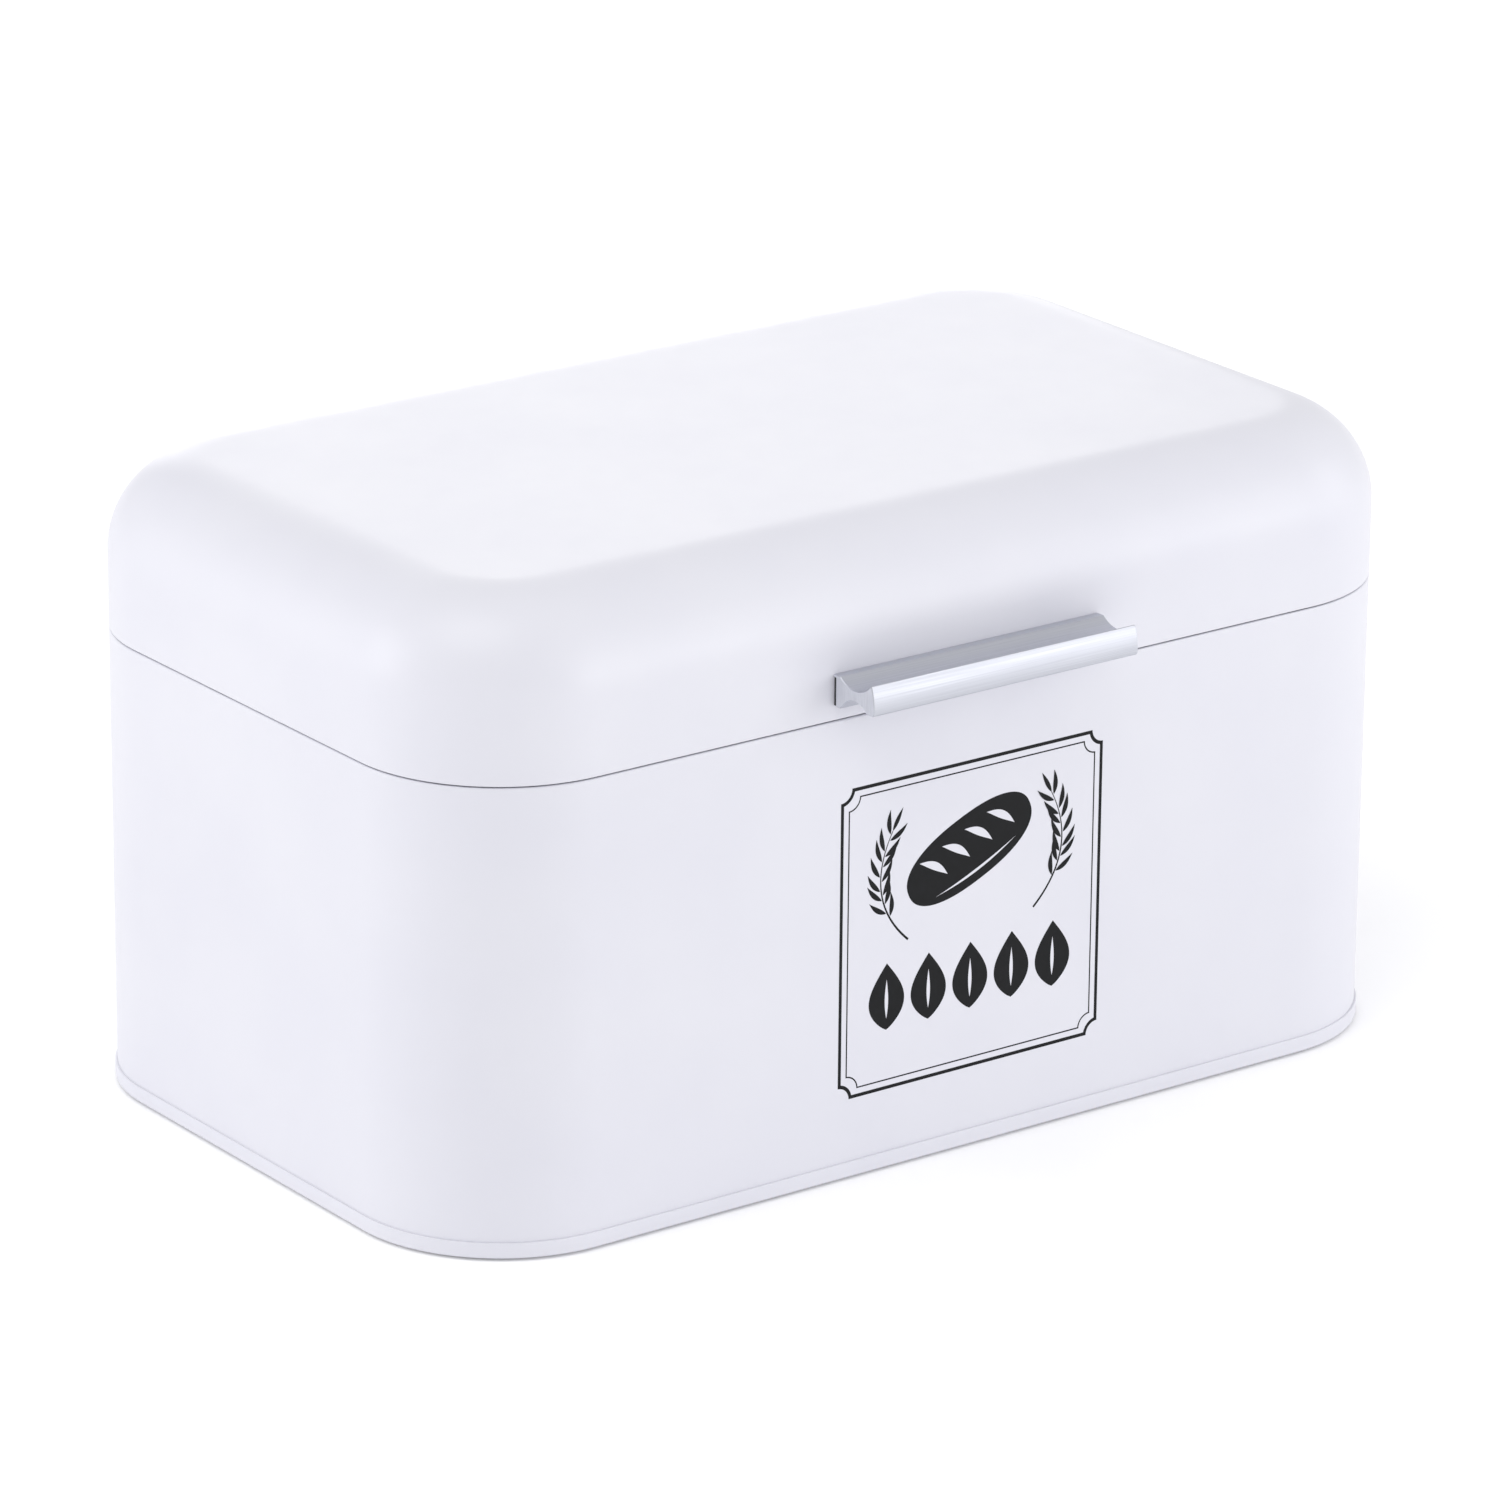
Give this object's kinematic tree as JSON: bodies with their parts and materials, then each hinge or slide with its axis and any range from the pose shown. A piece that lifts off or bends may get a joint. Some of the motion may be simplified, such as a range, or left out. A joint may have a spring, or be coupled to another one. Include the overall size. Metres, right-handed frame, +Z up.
{
  "type": "bread box",
  "caption": "Rectangular sheet-steel bread box with large rounded corners, a deep domed lid hinged at the back, a scooped bar handle and a printed front label.",
  "frame": {"origin": "on the table, under the middle of the closed box's whole outline, handle and hinges included", "axes": "+Z up, -Y out of the front where the handle and label are, +X to the right of a person who faces the front"},
  "size_m": [0.3312, 0.2252, 0.181],
  "materials": {
    "coated_steel": "satin powder coat",
    "handle_aluminium": "satin anodised",
    "plated_steel": "zinc plated",
    "rivet_aluminium": "as formed",
    "gasket_rubber": "matte",
    "foot_silicone": "soft matte",
    "label_print": "printed ink"
  },
  "bodies": {
    "box": {"body_wall": "coated_steel", "base_pan": "coated_steel", "collar": "coated_steel", "front_label": "label_print", "hinge_rivets_body": "rivet_aluminium", "hinge_leaf_body_left": "plated_steel", "hinge_pin_left": "plated_steel", "foot_front_left": "foot_silicone", "foot_back_left": "foot_silicone", "hinge_leaf_body_right": "plated_steel", "hinge_pin_right": "plated_steel", "foot_front_right": "foot_silicone", "foot_back_right": "foot_silicone"},
    "lid": {"lid_shell": "coated_steel", "handle_bar": "handle_aluminium", "handle_gasket": "gasket_rubber", "hinge_rivets_lid": "rivet_aluminium", "hinge_leaf_lid_left": "plated_steel", "handle_screw_left": "plated_steel", "handle_washer_left": "plated_steel", "lid_bumper_left": "foot_silicone", "hinge_leaf_lid_right": "plated_steel", "handle_screw_right": "plated_steel", "handle_washer_right": "plated_steel", "lid_bumper_right": "foot_silicone"}
  },
  "joints": [
    {"name": "lid_hinge", "type": "hinge", "parent": "box", "child": "lid", "pos_m": [0, 0.10699, 0.1326], "axis": [-1, 0, 0], "range_deg": [0, 100]}
  ]
}
